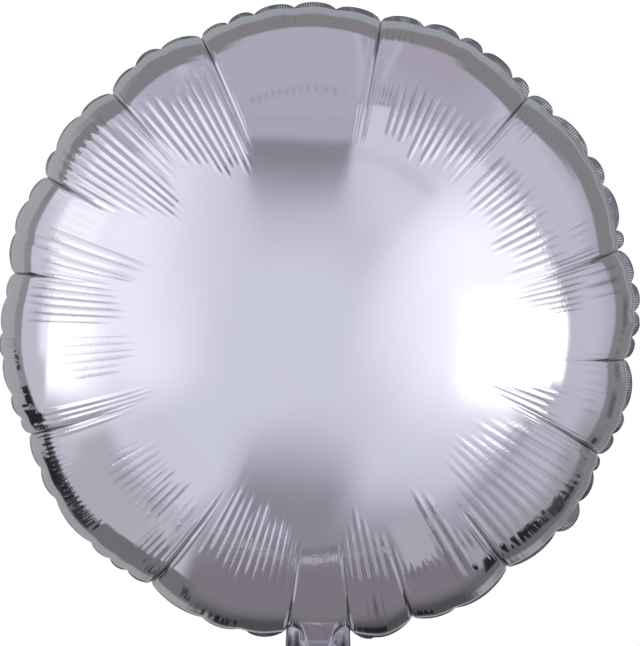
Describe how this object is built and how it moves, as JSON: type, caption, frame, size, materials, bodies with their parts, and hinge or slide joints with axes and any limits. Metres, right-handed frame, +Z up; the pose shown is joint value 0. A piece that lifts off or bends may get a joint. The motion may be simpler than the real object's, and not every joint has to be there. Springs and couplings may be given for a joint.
{
  "type": "round foil balloon",
  "caption": "Inflated round foil balloon: domed front and back panels welded along a puckered edge, with a flat filling tail and its valve film hanging below.",
  "frame": {"origin": "centre of the inflated envelope, where its lift acts", "axes": "-Y out of the front panel, +Y out of the back panel, seam in the XZ plane, +Z up, tail hanging towards -Z"},
  "size_m": [0.347, 0.2046, 0.4058],
  "materials": {
    "silver_foil": "bright metallised film, near mirror",
    "embossed_seal": "metallised film with a fine embossed weld pattern",
    "clear_valve_film": "clear thin film"
  },
  "bodies": {
    "root": {"front_panel": "silver_foil", "back_panel": "silver_foil", "seam_band": "embossed_seal", "tail_front_layer": "silver_foil", "tail_back_layer": "silver_foil", "tail_seal_left": "embossed_seal", "tail_seal_right": "embossed_seal", "valve_film_front": "clear_valve_film", "valve_film_back": "clear_valve_film"}
  },
  "joints": []
}
